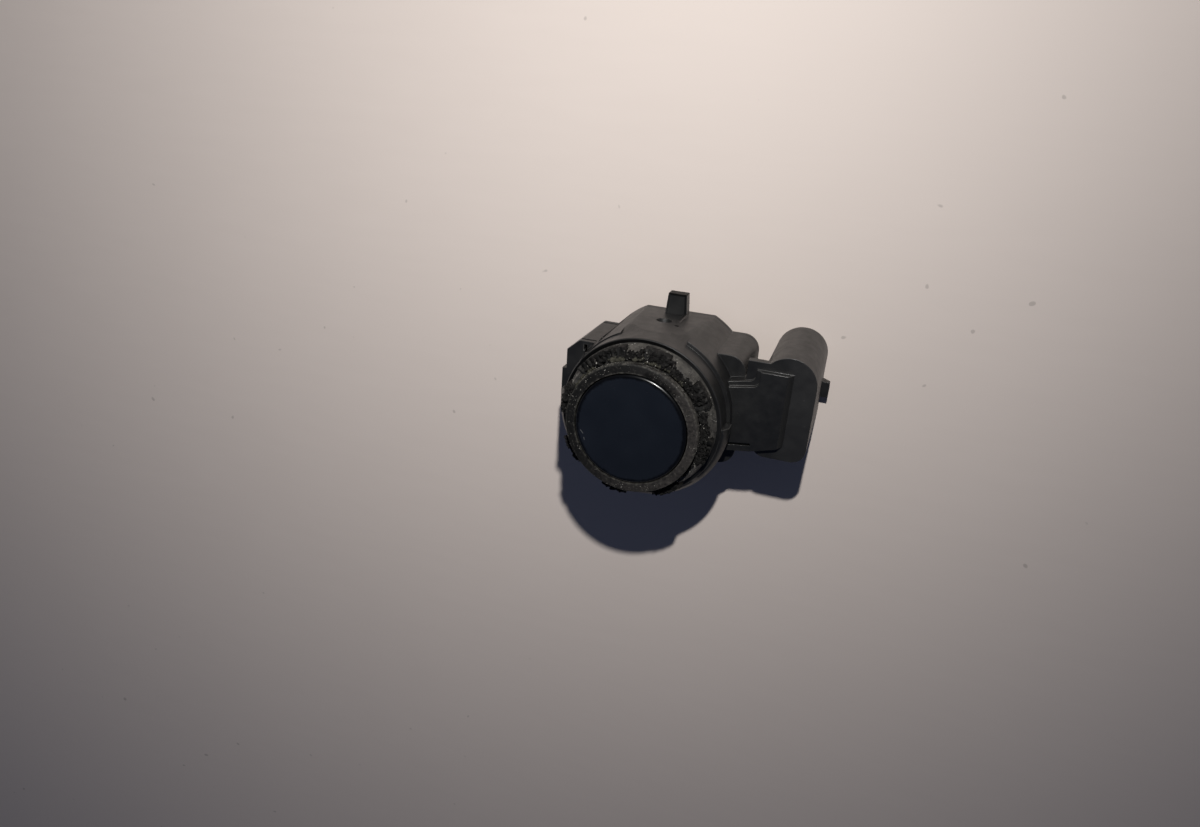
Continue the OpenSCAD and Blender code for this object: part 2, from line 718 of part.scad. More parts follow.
module cup_filling() {
    color([0.85, 0.84, 0.8]) lead_plug(filling_rear, filling_h);
}

module signal_lead() {
    color([0.8, 0.5, 0.3]) translate([0, 0, contact_top]) cylinder(h = piezo_rear - contact_top, d = lead_d);
}

module ground_lead() {
    color([0.8, 0.5, 0.3]) translate([ground_x, 0, contact_top])
        cylinder(h = membrane_rear - contact_top, d = lead_d);
}

module contact_carrier() {
    color([0.8, 0.78, 0.7]) difference() {
        union() {
            translate([0, 0, ring_floor]) cylinder(h = carrier_flange_t, d = carrier_flange_d);
            translate([0, 0, ring_floor - carrier_h]) cylinder(h = carrier_h + joint_eps, d = carrier_d);
        }
        for (x = [0, ground_x]) translate([x, 0, ring_floor - carrier_h - cut_extra])
            cylinder(h = carrier_h + carrier_flange_t + 2 * cut_extra, d = contact_d + 2 * fit_gap);
    }
}

module contact(x) {
    z0 = board_z - solder_l;
    translate([x, 0, z0]) cylinder(h = contact_top - z0, d = contact_d);
}

module signal_contact() {
    color([0.75, 0.75, 0.72]) contact(0);
}

module ground_contact() {
    color([0.75, 0.75, 0.72]) contact(ground_x);
}

module board_hole(x, y) {
    translate([x, y, board_z - cut_extra]) cylinder(h = board_t + 2 * cut_extra, d = board_hole_d);
}

module circuit_board() {
    color([0.08, 0.3, 0.16]) difference() {
        translate([-board_l / 2, -board_w / 2, board_z]) cube([board_l, board_w, board_t]);
        for (x = [0, ground_x]) board_hole(x, 0);
        for (y = terminal_offsets) board_hole(terminal_foot_x, terminal_y + y);
    }
}

module transformer_core() {
    color([0.2, 0.2, 0.21]) translate([core_x, 0, board_z - core_h]) {
        cylinder(h = core_disc_t, d = core_d);
        cylinder(h = core_h, d = core_post_d);
        translate([0, 0, core_h - core_disc_t]) cylinder(h = core_disc_t, d = core_d);
    }
}

module transformer_winding() {
    z0 = board_z - core_h + core_disc_t + fit_gap;
    h = core_h - 2 * core_disc_t - 2 * fit_gap;
    color([0.7, 0.36, 0.16]) translate([core_x, 0, z0]) difference() {
        cylinder(h = h, d = core_d - 2 * winding_inset);
        translate([0, 0, -cut_extra]) cylinder(h = h + 2 * cut_extra, d = core_post_d + 2 * fit_gap);
    }
}

// Block soldered to the rear of the board
module board_block(place, l, w, h) {
    translate([place[0] - l / 2, place[1] - w / 2, board_z - h]) cube([l, w, h]);
}

module driver_chip() {
    color([0.07, 0.07, 0.07]) board_block(chip_place, chip_l, chip_w, chip_h);
}

module capacitors() {
    color([0.6, 0.48, 0.34]) for (p = capacitor_places) board_block(p, capacitor_l, capacitor_w, capacitor_w);
}

module resistors() {
    color([0.12, 0.12, 0.13]) for (p = resistor_places) board_block(p, resistor_l, resistor_w, resistor_h);
}

module supply_terminal() {
    color([0.75, 0.72, 0.66]) terminal_wire(terminal_offsets[0], 0);
}

module signal_terminal() {
    color([0.75, 0.72, 0.66]) terminal_wire(terminal_offsets[1], 0);
}

module ground_terminal() {
    color([0.75, 0.72, 0.66]) terminal_wire(terminal_offsets[2], 0);
}

// Welded cover with a rim inside the body and the foot pad behind
module rear_cover() {
    color([0.07, 0.07, 0.075]) {
        translate([0, 0, foot_h]) linear_extrude(cover_t) {
            body_outline(0);
            right_ear_outline();
        }
        cylinder(h = foot_chamfer, d1 = foot_d - 2 * foot_chamfer, d2 = foot_d);
        translate([0, 0, foot_chamfer]) cylinder(h = foot_h - foot_chamfer + joint_eps, d = foot_d);
        translate([0, 0, body_rear - joint_eps]) linear_extrude(cover_rim_h + joint_eps) difference() {
            body_outline(wall + fit_gap);
            body_outline(wall + fit_gap + cover_rim_t);
        }
    }
}

housing();
collar();
sealing_ring();
sensing_cup();
piezo_disc();
damping_pad();
cup_filling();
signal_lead();
ground_lead();
contact_carrier();
signal_contact();
ground_contact();
circuit_board();
transformer_core();
transformer_winding();
driver_chip();
capacitors();
resistors();
supply_terminal();
signal_terminal();
ground_terminal();
rear_cover();
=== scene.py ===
# Parking sensor on a pale table top, lit by one small near lamp.
# Lengths are metres, and a length in millimetres is multiplied by MM.
import math
import bmesh
import bpy
from mathutils import Matrix, Vector


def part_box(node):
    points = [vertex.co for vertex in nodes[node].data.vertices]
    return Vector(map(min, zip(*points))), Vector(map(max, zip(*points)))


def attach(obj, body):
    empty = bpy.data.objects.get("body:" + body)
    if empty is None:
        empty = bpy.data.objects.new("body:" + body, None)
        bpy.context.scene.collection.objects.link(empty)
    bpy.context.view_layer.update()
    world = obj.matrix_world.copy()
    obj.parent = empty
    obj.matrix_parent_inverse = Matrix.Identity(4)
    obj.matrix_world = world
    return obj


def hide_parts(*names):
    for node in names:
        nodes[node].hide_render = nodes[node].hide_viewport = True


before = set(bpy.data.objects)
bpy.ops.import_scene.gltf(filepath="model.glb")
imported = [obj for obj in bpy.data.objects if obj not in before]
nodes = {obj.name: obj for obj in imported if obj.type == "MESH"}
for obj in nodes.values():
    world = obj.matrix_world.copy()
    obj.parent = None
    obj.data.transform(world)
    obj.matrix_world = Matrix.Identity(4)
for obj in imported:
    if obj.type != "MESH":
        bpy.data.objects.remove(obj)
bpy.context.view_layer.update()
MM = 0.001

# Sensing cup
# A drawn aluminium cup whose closed end is the membrane, with dark blue-grey satin paint.
# It is held by the sealing ring alone. Painted shade darkens the paint near its edge, by the lip,
# and its face has fine dust and two short scratches.


def new_finish(name, specular=0.5):
    """A material with its shader and its object coordinates in millimetres."""
    material = bpy.data.materials.new(name)
    material.use_nodes = True
    tree = material.node_tree
    shader = tree.nodes["Principled BSDF"]
    shader.inputs["Specular IOR Level"].default_value = specular
    place = tree.nodes.new("ShaderNodeTexCoord")
    scale = tree.nodes.new("ShaderNodeMapping")
    scale.inputs["Scale"].default_value = (1 / MM, 1 / MM, 1 / MM)
    tree.links.new(place.outputs["Object"], scale.inputs["Vector"])
    return material, tree, shader, scale.outputs["Vector"]


def noise(tree, place, per_mm, detail=3.0, roughness=0.55, stretch=None):
    """Noise with so many features per millimetre, stretched along the axes where asked."""
    if stretch:
        turn = tree.nodes.new("ShaderNodeMapping")
        turn.inputs["Scale"].default_value = stretch
        tree.links.new(place, turn.inputs["Vector"])
        place = turn.outputs["Vector"]
    node = tree.nodes.new("ShaderNodeTexNoise")
    node.inputs["Scale"].default_value = per_mm
    node.inputs["Detail"].default_value = detail
    node.inputs["Roughness"].default_value = roughness
    tree.links.new(place, node.inputs["Vector"])
    return node.outputs["Fac"]


def between(tree, value, low, high, out_low=0.0, out_high=1.0):
    """Maps a value from one span to another, held at its ends."""
    node = tree.nodes.new("ShaderNodeMapRange")
    node.inputs["From Min"].default_value = low
    node.inputs["From Max"].default_value = high
    node.inputs["To Min"].default_value = out_low
    node.inputs["To Max"].default_value = out_high
    tree.links.new(value, node.inputs["Value"])
    return node.outputs["Result"]


def calculate(tree, kind, first, second):
    """One arithmetic step on two values, each a socket or a number."""
    node = tree.nodes.new("ShaderNodeMath")
    node.operation = kind
    for socket, value in zip(node.inputs, (first, second)):
        if isinstance(value, (int, float)):
            socket.default_value = value
        else:
            tree.links.new(value, socket)
    return node.outputs["Value"]


def product(tree, first, second):
    """Two values multiplied."""
    return calculate(tree, "MULTIPLY", first, second)


def away_from(tree, value, level):
    """How far a value lies from a level, on either side."""
    return calculate(tree, "ABSOLUTE", calculate(tree, "SUBTRACT", value, level), 0)


def along_axes(tree, place):
    """The coordinates of a place, by the names X, Y and Z."""
    node = tree.nodes.new("ShaderNodeSeparateXYZ")
    tree.links.new(place, node.inputs["Vector"])
    return node.outputs


def axis_distance(tree, place):
    """Distance from the sensing axis in millimetres."""
    flat = tree.nodes.new("ShaderNodeVectorMath")
    flat.operation = "MULTIPLY"
    flat.inputs[1].default_value = (1, 1, 0)
    tree.links.new(place, flat.inputs[0])
    length = tree.nodes.new("ShaderNodeVectorMath")
    length.operation = "LENGTH"
    tree.links.new(flat.outputs["Vector"], length.inputs[0])
    return length.outputs["Value"]


def blend_colour(tree, share, first, second):
    """A colour between two, each a colour or a socket."""
    node = tree.nodes.new("ShaderNodeMix")
    node.data_type = "RGBA"
    tree.links.new(share, node.inputs["Factor"])
    for socket, value in ((node.inputs["A"], first), (node.inputs["B"], second)):
        if isinstance(value, tuple):
            socket.default_value = (*value, 1.0)
        else:
            tree.links.new(value, socket)
    return node.outputs["Result"]


def raise_surface(tree, height, depth_mm, under=None):
    """A bump of so many millimetres, over another bump where one is given."""
    node = tree.nodes.new("ShaderNodeBump")
    node.inputs["Strength"].default_value = 1.0
    node.inputs["Distance"].default_value = depth_mm * MM
    tree.links.new(height, node.inputs["Height"])
    if under:
        tree.links.new(under, node.inputs["Normal"])
    return node.outputs["Normal"]


def coat(tree, shader, colour, roughness, relief=None):
    """Links the colour, the roughness and, where there is one, the relief of a finish to its shader."""
    tree.links.new(colour, shader.inputs["Base Color"])
    tree.links.new(roughness, shader.inputs["Roughness"])
    if relief:
        tree.links.new(relief, shader.inputs["Normal"])


def scratch(tree, place, middle, degrees, length, width):
    """A short straight mark, 1 on it and 0 beside it."""
    turn = tree.nodes.new("ShaderNodeMapping")
    turn.vector_type = "TEXTURE"
    turn.inputs["Location"].default_value = (*middle, 0)
    turn.inputs["Rotation"].default_value = (0, 0, math.radians(degrees))
    tree.links.new(place, turn.inputs["Vector"])
    axes = along_axes(tree, turn.outputs["Vector"])
    along = between(tree, away_from(tree, axes["X"], 0), length / 2, length / 4)
    across = between(tree, away_from(tree, axes["Y"], 0), width, width / 2)
    return product(tree, along, across)


def spun_piece(name, section, steps):
    """A closed ring or disc turned from a section of (radius, height) points in millimetres."""
    form = bmesh.new()
    rings = []
    for radius, height in section:
        if radius == 0:
            rings.append([form.verts.new((0, 0, height * MM))])
            continue
        turns = [2 * math.pi * k / steps for k in range(steps)]
        rings.append([form.verts.new((radius * math.cos(a) * MM, radius * math.sin(a) * MM, height * MM))
                      for a in turns])
    for first, second in zip(rings, rings[1:] + rings[:1]):
        if len(first) == 1 and len(second) == 1:
            continue
        for k in range(steps):
            corners = [first[k % len(first)], first[(k + 1) % len(first)],
                       second[(k + 1) % len(second)], second[k % len(second)]]
            form.faces.new(list(dict.fromkeys(corners)))
    bmesh.ops.recalc_face_normals(form, faces=form.faces)
    mesh = bpy.data.meshes.new(name)
    form.to_mesh(mesh)
    form.free()
    mesh.shade_smooth()
    mesh.set_sharp_from_angle(angle=math.radians(40))
    piece = bpy.data.objects.new(name, mesh)
    bpy.context.scene.collection.objects.link(piece)
    return piece


cup_low, cup_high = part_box("sensing_cup")
cup_r = cup_high.x / MM
cup_front = cup_high.z / MM
cup_rear = cup_low.z / MM
cup_edge = 0.5
cup_wall = 1.0
membrane_t = 0.7
cup_steps = 160
edge_turns = [math.radians(90 - 10 * k) for k in range(10)]
cup_section = [(0, cup_front)]
cup_section += [(cup_r - cup_edge + cup_edge * math.cos(a), cup_front - cup_edge + cup_edge * math.sin(a))
                for a in edge_turns]
cup_section += [(cup_r, cup_rear), (cup_r - cup_wall, cup_rear), (cup_r - cup_wall, cup_front - membrane_t),
                (0, cup_front - membrane_t)]
sensing_face = spun_piece("sensing_face", cup_section, cup_steps)

shade_from = cup_r - 0.73
shade_to = cup_r - 0.45
navy_dark = (0.0054, 0.0068, 0.0098)
navy_light = (0.0074, 0.0092, 0.0130)
edge_shade = (0.0010, 0.0010, 0.0010)
face_dust = (0.05, 0.05, 0.05)
bared_grey = (0.09, 0.09, 0.09)
navy, tree, shader, place = new_finish("navy_satin_paint", 0.45)
clouds = noise(tree, place, 0.12, 2.0)
peel = noise(tree, place, 2.2, 2.0)
dust = between(tree, noise(tree, place, 9.0, 2.0), 0.70, 0.76)
upper_mark = scratch(tree, place, middle=(-6.6, -1.55), degrees=-50, length=0.8, width=0.06)
lower_mark = scratch(tree, place, middle=(-6.2, -2.5), degrees=-75, length=0.5, width=0.06)
marks = calculate(tree, "ADD", upper_mark, lower_mark)
paint = blend_colour(tree, between(tree, clouds, 0.35, 0.65), navy_dark, navy_light)
# Painted shade: the paint turns near black in a ragged ring at the cup's edge, beside the lip.
ragged = calculate(tree, "ADD", axis_distance(tree, place),
                   between(tree, noise(tree, place, 1.3, 4.0, 0.7), 0.35, 0.65, -0.12, 0.12))
shade_darkened = blend_colour(tree, between(tree, ragged, shade_from, shade_to), paint, edge_shade)
dusted = blend_colour(tree, product(tree, dust, 0.30), shade_darkened, face_dust)
coat(tree, shader, blend_colour(tree, marks, dusted, bared_grey),
     between(tree, clouds, 0.3, 0.7, 0.22, 0.27), raise_surface(tree, peel, 0.002))
sensing_face.data.materials.append(navy)
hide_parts("sensing_cup")
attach(sensing_face, "root")

# Pieces inside the cup and on the board
# A bonded ceramic disc, felt and foam fill the cup, and two leads run to the pins of a moulded carrier.
# The board behind carries a pot-core transformer, a driver chip and small ceramic parts, all soldered.


def plain_finish(name, dark, light, per_mm, rough, metallic=0.0, depth_mm=0.01, specular=0.5):
    """A simple finish: two tones in a fine noise, with uneven gloss and relief."""
    material, tree, shader, place = new_finish(name, specular)
    grain = noise(tree, place, per_mm, 4.0)
    coat(tree, shader, blend_colour(tree, between(tree, grain, 0.3, 0.7), dark, light),
         between(tree, grain, 0.3, 0.7, rough - 0.08, rough + 0.08), raise_surface(tree, grain, depth_mm))
    shader.inputs["Metallic"].default_value = metallic
    return material


def bright_metal(name, dark, light, per_mm, rough, depth_mm=0.003):
    """A bare or plated metal with a very fine grain."""
    return plain_finish(name, dark, light, per_mm, rough, 1.0, depth_mm)


def finish_solid(node_name, finish):
    """Gives a solid that is kept as it is a finish of its own."""
    materials = nodes[node_name].data.materials
    materials.clear()
    materials.append(finish)


inner_finishes = {
    "piezo_disc": plain_finish("silvered_ceramic", (0.50, 0.47, 0.38), (0.62, 0.60, 0.52), 3.0, 0.45),
    "damping_pad": plain_finish("grey_felt", (0.06, 0.06, 0.065), (0.16, 0.16, 0.17), 6.0, 0.95, 0.0, 0.06),
    "cup_filling": plain_finish("pale_foam", (0.60, 0.58, 0.52), (0.74, 0.73, 0.68), 4.0, 0.85, 0.0, 0.05),
    "signal_lead": bright_metal("bare_copper", (0.55, 0.24, 0.12), (0.68, 0.34, 0.19), 8.0, 0.35),
    "ground_lead": bright_metal("ground_copper", (0.52, 0.23, 0.12), (0.66, 0.33, 0.19), 8.0, 0.35),
    "contact_carrier": plain_finish("natural_moulding", (0.52, 0.48, 0.36), (0.62, 0.58, 0.46), 2.0, 0.5),
    "signal_contact": bright_metal("tinned_pin", (0.52, 0.51, 0.48), (0.66, 0.65, 0.62), 6.0, 0.32),
    "ground_contact": bright_metal("tinned_ground_pin", (0.50, 0.49, 0.46), (0.64, 0.63, 0.6), 6.0, 0.32),
    "circuit_board": plain_finish("green_laminate", (0.008, 0.06, 0.022), (0.015, 0.09, 0.035), 5.0, 0.4),
    "transformer_core": plain_finish("sintered_ferrite", (0.025, 0.025, 0.027), (0.06, 0.06, 0.062),
                                     9.0, 0.55),
    "transformer_winding": plain_finish("enamelled_copper", (0.30, 0.10, 0.03), (0.48, 0.19, 0.06),
                                        7.0, 0.3, 0.7),
    "driver_chip": plain_finish("chip_resin", (0.008, 0.008, 0.008), (0.02, 0.02, 0.02), 12.0, 0.6),
    "capacitors": plain_finish("brown_ceramic", (0.28, 0.18, 0.09), (0.38, 0.26, 0.14), 8.0, 0.45),
    "resistors": plain_finish("glazed_film", (0.01, 0.01, 0.012), (0.03, 0.03, 0.033), 8.0, 0.25),
}
for node_name, finish in inner_finishes.items():
    finish_solid(node_name, finish)

# Sealing ring
# One soft black silicone moulding: a rounded lip in front, a neck, grooved teeth and a clamped flange.
# The lip has settled a little, and years on the road have left a brown-grey film, pale dust
# on its outer edge and dark pits. A pale line along its inner edge by the cup is a painted highlight.


def merged_form(node_name):
    """A copy of a solid as one closed skin with whole flat faces."""
    form = bmesh.new()
    form.from_mesh(nodes[node_name].data)
    bmesh.ops.remove_doubles(form, verts=form.verts, dist=0.0005 * MM)
    bmesh.ops.dissolve_limit(form, angle_limit=math.radians(0.6), verts=form.verts, edges=form.edges)
    return form


def moulded_piece(form, name, edge_mm, finishes):
    """A piece with its corners rounded as a mould leaves them; the last finish goes on the corners."""
    mesh = bpy.data.meshes.new(name)
    form.to_mesh(mesh)
    form.free()
    mesh.shade_smooth()
    sharp_angle = math.radians(35)
    mesh.set_sharp_from_angle(angle=sharp_angle)
    piece = bpy.data.objects.new(name, mesh)
    bpy.context.scene.collection.objects.link(piece)
    for finish in finishes:
        mesh.materials.append(finish)
    if edge_mm:
        bevel = piece.modifiers.new("rounded_corners", "BEVEL")
        bevel.width = edge_mm * MM
        bevel.segments = 2
        bevel.limit_method = "ANGLE"
        bevel.angle_limit = sharp_angle
        bevel.use_clamp_overlap = False
        bevel.material = len(finishes) - 1
        evened = piece.modifiers.new("even_shading", "WEIGHTED_NORMAL")
        evened.keep_sharp = False
    return plain_mesh(piece)


def plain_mesh(piece):
    """The piece with its modifiers applied."""
    bpy.context.view_layer.update()
    graph = bpy.context.evaluated_depsgraph_get()
    finished = bpy.data.meshes.new_from_object(piece.evaluated_get(graph), depsgraph=graph)
    piece.modifiers.clear()
    piece.data = finished
    finished.name = piece.name
    return piece


lip_r = 9.1
lip_rear = 24.9
lip_bend = 26.1
lip_set = 0.12
clean_side = -5.0
dusty_side = 8.0
rubber_dark = (0.0014, 0.0014, 0.0014)
rubber_light = (0.0034, 0.0033, 0.0031)
road_film = (0.036, 0.0318, 0.0292)
pale_rim_dust_and_highlight = (0.075, 0.072, 0.062)
speck_grey = (0.085, 0.078, 0.068)
pit_black = (0.003, 0.003, 0.003)
tooth_grey = (0.052, 0.049, 0.044)
silicone, tree, shader, place = new_finish("dusty_silicone", 0.2)
axes = along_axes(tree, place)
on_lip = between(tree, axes["Z"], lip_rear, lip_rear + 0.3)
film = noise(tree, place, 0.55, 5.0, 0.65)
speck = between(tree, noise(tree, place, 3.2, 4.0, 0.65), 0.53, 0.70)
fine = noise(tree, place, 14.0, 3.0)
slant = calculate(tree, "SUBTRACT", axes["X"], product(tree, axes["Y"], 0.4))
lower_right = between(tree, slant, clean_side, dusty_side, 0.02, 1.0)
settled = product(tree, product(tree, on_lip, lower_right), between(tree, film, 0.25, 0.75, 0.5, 1.0))
rubber = blend_colour(tree, film, rubber_dark, rubber_light)
filmed = blend_colour(tree, product(tree, settled, 0.9), rubber, road_film)
radius = axis_distance(tree, place)
# Pale rims: dust on the lip's outer edge, and a painted highlight on its inner edge by the cup.
edges = calculate(tree, "MAXIMUM", between(tree, radius, lip_r - 0.25, lip_r - 0.12),
                  between(tree, radius, cup_r + 0.25, cup_r + 0.15))
rim_dust_and_highlight = product(tree, product(tree, edges, on_lip),
                   between(tree, noise(tree, place, 1.6, 4.0, 0.7), 0.40, 0.62, 0.0, 0.65))
rimmed = blend_colour(tree, rim_dust_and_highlight, filmed, pale_rim_dust_and_highlight)
specks = product(tree, product(tree, speck, on_lip), between(tree, slant, clean_side, dusty_side, 0.25, 0.7))
specked = blend_colour(tree, specks, rimmed, speck_grey)
pits = between(tree, noise(tree, place, 2.1, 4.0, 0.7), 0.50, 0.38, 0.0, 0.7)
pitted = blend_colour(tree, pits, specked, pit_black)
on_teeth = calculate(tree, "SUBTRACT", 1.0, on_lip)
tooth_dust = product(tree, on_teeth, between(tree, noise(tree, place, 1.5, 5.0, 0.7), 0.50, 0.64, 0.0, 0.55))
coat(tree, shader, blend_colour(tree, tooth_dust, pitted, tooth_grey),
     between(tree, film, 0.3, 0.7, 0.55, 0.75),
     raise_surface(tree, fine, 0.045, raise_surface(tree, film, 0.03)))

ring = moulded_piece(merged_form("sealing_ring"), "sealing_lip_ring", 0, [silicone])
for corner in ring.data.vertices:
    over = corner.co.z / MM - lip_bend
    if over > 0:
        corner.co.z -= over * lip_set / (cup_front - lip_bend) * MM
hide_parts("sealing_ring")
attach(ring, "root")

# Collar
# A conical black ring, notched for the teeth, pressed into the barrel over the clamped flange.
# Its slope holds a grey layer of road dust with dark worn patches, and painted shade darkens the channel at
# the lip.

channel_r = 9.6
collar_edge = 0.05
collar_dark = (0.005, 0.005, 0.005)
collar_light = (0.010, 0.010, 0.0095)
road_dust = (0.060, 0.056, 0.049)
channel_shade = (0.0025, 0.0024, 0.0023)
pale_speck = (0.18, 0.17, 0.15)
dusty_black, tree, shader, place = new_finish("dusty_black_collar", 0.5)
patches = noise(tree, place, 0.8, 6.0, 0.7)
scuffs = between(tree, noise(tree, place, 2.6, 4.0, 0.7), 0.52, 0.62)
specks = between(tree, noise(tree, place, 6.0, 2.0), 0.68, 0.74)
fine = noise(tree, place, 11.0, 4.0)
plastic = blend_colour(tree, patches, collar_dark, collar_light)
layer = product(tree, between(tree, patches, 0.36, 0.60, 0.1, 1.0),
                calculate(tree, "SUBTRACT", 1.0, product(tree, scuffs, 0.7)))
dusted = blend_colour(tree, layer, plastic, road_dust)
# Painted shade: the deep channel under the lip is darkened towards black.
channel = between(tree, axis_distance(tree, place), channel_r, channel_r - 0.25, 0.0, 0.9)
shade_darkened = blend_colour(tree, channel, dusted, channel_shade)
coat(tree, shader, blend_colour(tree, product(tree, specks, 0.45), shade_darkened, pale_speck),
     between(tree, patches, 0.3, 0.7, 0.42, 0.7),
     raise_surface(tree, fine, 0.03, raise_surface(tree, patches, 0.12)))

collar = moulded_piece(merged_form("collar"), "notched_collar", collar_edge, [dusty_black])
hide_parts("collar")
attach(collar, "root")

# Torn gasket and grit
# Shreds of a black foam gasket stick on the teeth and in the channel behind the lip, torn as the part
# came out. Grey mud is packed below them, and pale grains of grit lie on the lip, the shreds and the collar.


def new_tree(name, sizes):
    """An empty tree of geometry nodes with a mesh, named sizes, a seed and a finish as its inputs."""
    tree = bpy.data.node_groups.new(name, "GeometryNodeTree")
    tree.interface.new_socket("Mesh", in_out="INPUT", socket_type="NodeSocketGeometry")
    for label in sizes:
        tree.interface.new_socket(label, in_out="INPUT", socket_type="NodeSocketFloat")
    tree.interface.new_socket("Seed", in_out="INPUT", socket_type="NodeSocketInt")
    tree.interface.new_socket("Finish", in_out="INPUT", socket_type="NodeSocketMaterial")
    tree.interface.new_socket("Mesh", in_out="OUTPUT", socket_type="NodeSocketGeometry")
    return tree, tree.nodes.new("NodeGroupInput").outputs, tree.nodes.new("NodeGroupOutput").inputs


def add(tree, kind, values=(), **settings):
    """A node with its settings, and its inputs by name: a socket is linked and a plain value is set."""
    node = tree.nodes.new(kind)
    for key, value in settings.items():
        setattr(node, key, value)
    for key, value in values:
        socket = node.inputs[key]
        if isinstance(value, bpy.types.NodeSocket):
            tree.links.new(value, socket)
        else:
            socket.default_value = value
    return node


def field_noise(tree, per_metre, detail):
    """A noise node of so many features per metre at each point of a mesh."""
    point = add(tree, "GeometryNodeInputPosition").outputs["Position"]
    return add(tree, "ShaderNodeTexNoise", [("Vector", point), ("Scale", per_metre), ("Detail", detail)])


def drift(tree, per_metre, low, high):
    """A noise of so many features per metre, spread over 0 to 1 between two levels."""
    return between(tree, field_noise(tree, per_metre, 3.0).outputs["Fac"], low, high)


def chance(tree, low, high, seed):
    """A random value for each point, or three values where the ends are vectors."""
    if isinstance(low, tuple):
        return add(tree, "FunctionNodeRandomValue", [(0, low), (1, high), ("Seed", seed)],
                   data_type="FLOAT_VECTOR").outputs[0]
    return add(tree, "FunctionNodeRandomValue", [(2, low), (3, high), ("Seed", seed)],
               data_type="FLOAT").outputs[1]


def scaled(tree, vector, factor):
    """A vector times a value."""
    return add(tree, "ShaderNodeVectorMath", [(0, vector), ("Scale", factor)],
               operation="SCALE").outputs["Vector"]


def moved(tree, geometry, offset):
    """A geometry with each of its points moved."""
    return add(tree, "GeometryNodeSetPosition", [
        ("Geometry", geometry), ("Offset", offset)]).outputs["Geometry"]


def scattered(tree, size, share):
    """Points on the base mesh, dense where its cover attribute and the given share are high."""
    cover = add(tree, "GeometryNodeInputNamedAttribute", [("Name", "cover")], data_type="FLOAT").outputs[0]
    density = product(tree, product(tree, share, cover), size["Density"])
    return add(tree, "GeometryNodeDistributePointsOnFaces", [
        ("Mesh", size["Mesh"]), ("Density", density), ("Seed", size["Seed"])]).outputs["Points"]


def finished_mesh(tree, size, result, geometry):
    """Ends a tree: real faces with the given finish."""
    real = add(tree, "GeometryNodeRealizeInstances", [("Geometry", geometry)]).outputs["Geometry"]
    coated = add(tree, "GeometryNodeSetMaterial", [("Geometry", real), ("Material", size["Finish"])])
    tree.links.new(coated.outputs["Geometry"], result["Mesh"])


def grit_tree():
    """Scatters irregular grains, few of them large."""
    tree, size, result = new_tree("grit", ("Density", "Grain"))
    points = scattered(tree, size, drift(tree, 450.0, 0.4, 0.7))
    ball = add(tree, "GeometryNodeMeshIcoSphere", [("Radius", 1.0), ("Subdivisions", 1)]).outputs["Mesh"]
    rare = calculate(tree, "POWER", chance(tree, 0.0, 1.0, 3), 5.0)
    growth = between(tree, rare, 0.0, 1.0, 0.25, 1.0)
    uneven = chance(tree, (0.6, 0.6, 0.4), (1.2, 1.0, 0.8), 5)
    scale = scaled(tree, uneven, product(tree, growth, size["Grain"]))
    spin = chance(tree, (0.0, 0.0, 0.0), (6.28, 6.28, 6.28), 7)
    grains = add(tree, "GeometryNodeInstanceOnPoints", [
        ("Points", points), ("Instance", ball), ("Scale", scale), ("Rotation", spin)]).outputs["Instances"]
    finished_mesh(tree, size, result, grains)
    return tree


def shred_tree():
    """Grows a ragged crust from many small lumps that run together."""
    tree, size, result = new_tree("torn_foam", ("Density", "Lump", "Rise", "Cell", "Tear"))
    points = scattered(tree, size, drift(tree, 620.0, 0.43, 0.52))
    hill = product(tree, drift(tree, 1300.0, 0.38, 0.62), size["Rise"])
    step = add(tree, "ShaderNodeCombineXYZ", [("Z", hill)]).outputs["Vector"]
    lump = product(tree, chance(tree, 0.5, 1.0, 2), size["Lump"])
    cloud = add(tree, "GeometryNodePointsToVolume", [
        ("Points", moved(tree, points, step)), ("Density", 1.0), ("Voxel Size", size["Cell"]),
        ("Radius", lump)], resolution_mode="VOXEL_SIZE").outputs["Volume"]
    skin = add(tree, "GeometryNodeVolumeToMesh", [
        ("Volume", cloud), ("Voxel Size", size["Cell"]), ("Threshold", 0.1)],
        resolution_mode="VOXEL_SIZE").outputs["Mesh"]
    torn = field_noise(tree, 4200.0, 4.0).outputs["Color"]
    centred = add(tree, "ShaderNodeVectorMath", [(0, torn), (1, (0.5, 0.5, 0.5))], operation="SUBTRACT")
    pull = scaled(tree, centred.outputs["Vector"], size["Tear"])
    finished_mesh(tree, size, result, moved(tree, skin, pull))
    return tree


def spun_sheet(name, section, lobes):
    """An open sheet turned from a section, covered round (degrees, half width, strength, reach) lobes."""
    steps = 240
    points = []
    cover = []
    for radius, height in section:
        for k in range(steps):
            degrees = 360 * k / steps
            angle = math.radians(degrees)
            points.append((radius * math.cos(angle) * MM, radius * math.sin(angle) * MM, height * MM))
            here = [0]
            for middle, half, most, reach in lobes:
                gap = abs((degrees - middle + 180) % 360 - 180)
                if radius <= reach:
                    here.append(most * min(1, max(0, 2.5 * (1 - gap / half))))
            cover.append(max(here))
    faces = [(row * steps + k, row * steps + (k + 1) % steps, (row + 1) * steps + (k + 1) % steps,
              (row + 1) * steps + k) for row in range(len(section) - 1) for k in range(steps)]
    mesh = bpy.data.meshes.new(name)
    mesh.from_pydata(points, [], faces)
    mesh.attributes.new("cover", "FLOAT", "POINT").data.foreach_set("value", cover)
    return mesh


def grown_piece(name, base, tree, sizes, finish):
    """The plain mesh that a tree makes from a base mesh with the given sizes."""
    piece = bpy.data.objects.new(name, base)
    bpy.context.scene.collection.objects.link(piece)
    modifier = piece.modifiers.new("grown", "NODES")
    modifier.node_group = tree
    sizes = {**sizes, "Finish": finish}
    for item in tree.interface.items_tree:
        if item.in_out == "INPUT" and item.name in sizes:
            modifier[item.identifier] = sizes[item.name]
    piece.update_tag()
    plain_mesh(piece)
    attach(piece, "root")


